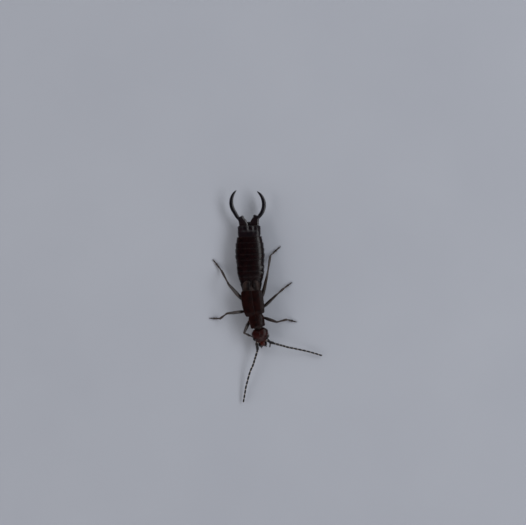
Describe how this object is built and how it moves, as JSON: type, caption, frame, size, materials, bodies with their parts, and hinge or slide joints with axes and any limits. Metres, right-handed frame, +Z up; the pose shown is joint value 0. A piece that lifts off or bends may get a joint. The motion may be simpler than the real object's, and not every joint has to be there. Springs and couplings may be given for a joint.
{
  "type": "earwig",
  "caption": "Life-size still model of a male earwig: flat jointed body, curved tail forceps, beaded feelers spread forward, six bent legs flat on the floor.",
  "frame": {"origin": "on the floor under the middle of the animal's whole extent, feelers, claws and forceps included", "axes": "+Z up, -Y towards the head and +Y towards the forceps, +X the animal's left side"},
  "size_m": [0.0126, 0.0236, 0.0023],
  "materials": {
    "head_shell": "satin",
    "eye": "gloss",
    "dark_horn": "gloss",
    "back_shell": "satin",
    "pale_wing": "satin",
    "leg": "satin",
    "feeler": "satin"
  },
  "bodies": {
    "root": {"head": "head_shell", "labrum": "head_shell", "eye_left": "eye", "eye_right": "eye", "mandible_left": "dark_horn", "mandible_right": "dark_horn", "forceps_left": "dark_horn", "forceps_right": "dark_horn", "prothorax": "back_shell", "pronotum": "back_shell", "thorax": "back_shell", "tegmen_left": "back_shell", "tegmen_right": "back_shell", "abdomen": "back_shell", "last_tergite": "back_shell", "pygidium": "back_shell", "hindwing_tip_left": "pale_wing", "hindwing_tip_right": "pale_wing", "palp_left": "leg", "palp_right": "leg", "leg_front_left_femur": "leg", "leg_front_left_tibia": "leg", "leg_front_left_tarsus": "leg", "leg_front_right_femur": "leg", "leg_front_right_tibia": "leg", "leg_front_right_tarsus": "leg", "leg_middle_left_femur": "leg", "leg_middle_left_tibia": "leg", "leg_middle_left_tarsus": "leg", "leg_middle_right_femur": "leg", "leg_middle_right_tibia": "leg", "leg_middle_right_tarsus": "leg", "leg_hind_left_femur": "leg", "leg_hind_left_tibia": "leg", "leg_hind_left_tarsus": "leg", "leg_hind_right_femur": "leg", "leg_hind_right_tibia": "leg", "leg_hind_right_tarsus": "leg", "antenna_left_scape": "feeler", "antenna_left_flagellum": "feeler", "antenna_right_scape": "feeler", "antenna_right_flagellum": "feeler"}
  },
  "joints": []
}
